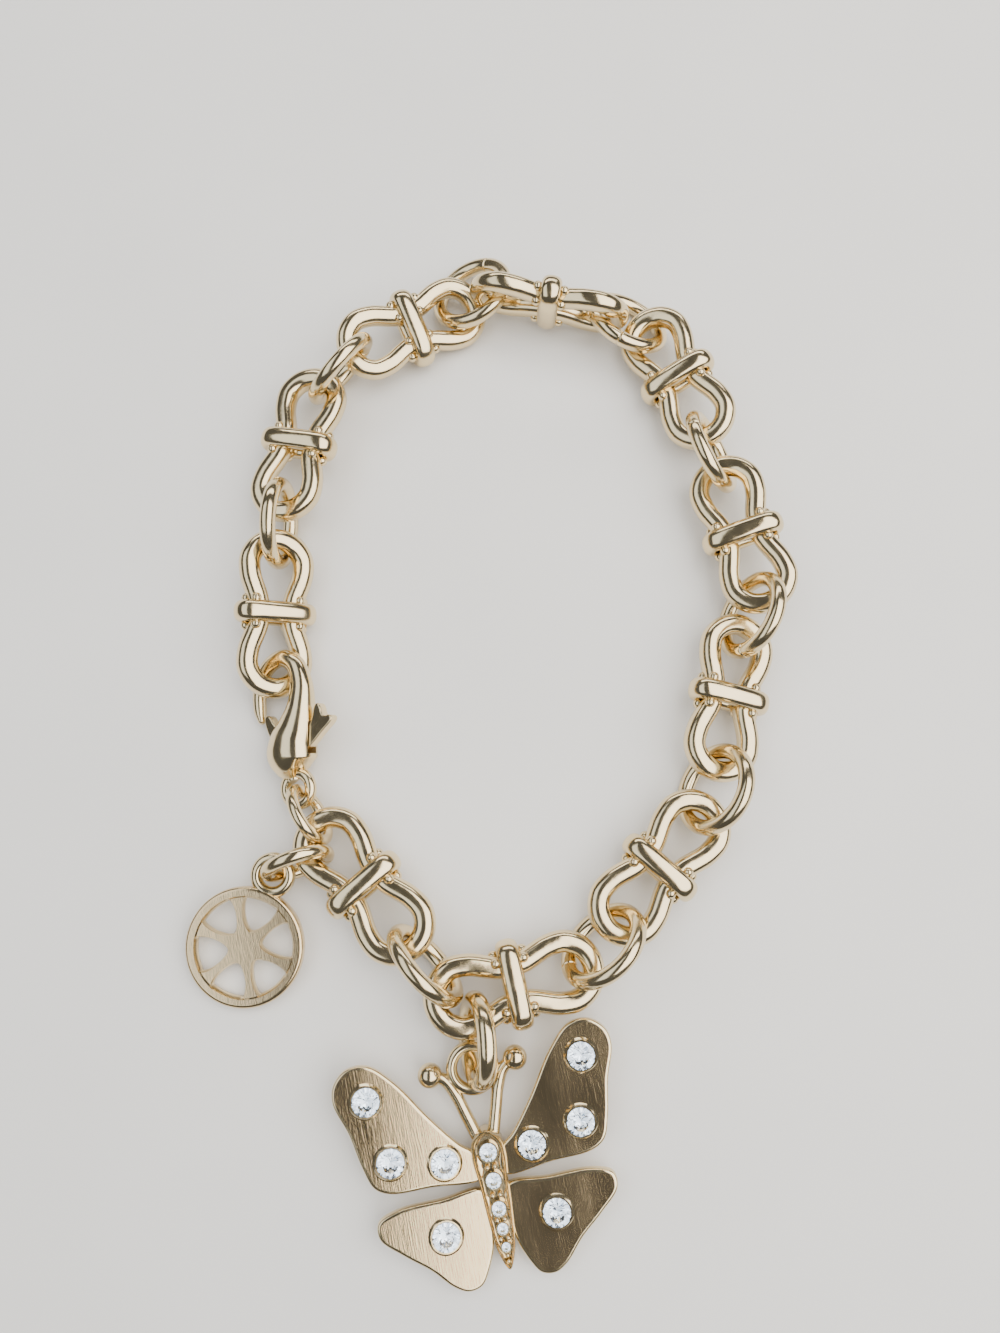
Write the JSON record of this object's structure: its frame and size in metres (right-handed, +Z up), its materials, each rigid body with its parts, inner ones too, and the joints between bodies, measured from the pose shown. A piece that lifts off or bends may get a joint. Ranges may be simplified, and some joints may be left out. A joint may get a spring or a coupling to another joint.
{
  "type": "charm bracelet",
  "caption": "Bow-link chain bracelet closed by a lobster claw, with a stone-set butterfly pendant and a round pierced tag.",
  "frame": {"origin": "middle of the bounding box, on the surface that the bracelet lies on", "axes": "+Z up, +Y from the butterfly's tail towards the far side of the loop, +X to the right as the clasp is on the left"},
  "size_m": [0.0628, 0.108, 0.0098],
  "materials": {
    "gold": "polished",
    "satin_gold": "satin",
    "stone": "polished"
  },
  "bodies": {
    "bracelet": {"bow_link_01": "gold", "bow_link_02": "gold", "bow_link_03": "gold", "bow_link_04": "gold", "bow_link_05": "gold", "bow_link_06": "gold", "bow_link_07": "gold", "bow_link_08": "gold", "bow_link_09": "gold", "bow_link_10": "gold", "chain_ring_1": "gold", "chain_ring_2": "gold", "chain_ring_3": "gold", "chain_ring_4": "gold", "chain_ring_5": "gold", "chain_ring_6": "gold", "chain_ring_7": "gold", "chain_ring_8": "gold", "chain_ring_9": "gold", "clasp_ring": "gold", "tag_ring": "gold", "drop_ring": "gold", "clasp_body": "gold", "round_tag": "satin_gold", "butterfly": "satin_gold", "wing_stone_1": "stone", "wing_stone_2": "stone", "wing_stone_3": "stone", "wing_stone_4": "stone", "wing_stone_5": "stone", "wing_stone_6": "stone", "wing_stone_7": "stone", "wing_stone_8": "stone", "body_stone_1": "stone", "body_stone_2": "stone", "body_stone_3": "stone", "body_stone_4": "stone", "body_stone_5": "stone"},
    "gate": {"clasp_gate": "gold"}
  },
  "joints": [
    {"name": "gate_hinge", "type": "hinge", "parent": "bracelet", "child": "gate", "pos_m": [-0.02043, -0.00248, 0.00313], "axis": [0.4756, 0.1045, -0.8734], "range_deg": [0, 20], "stiffness_Nm_per_rad": 0.002, "springref_deg": -17.19}
  ]
}
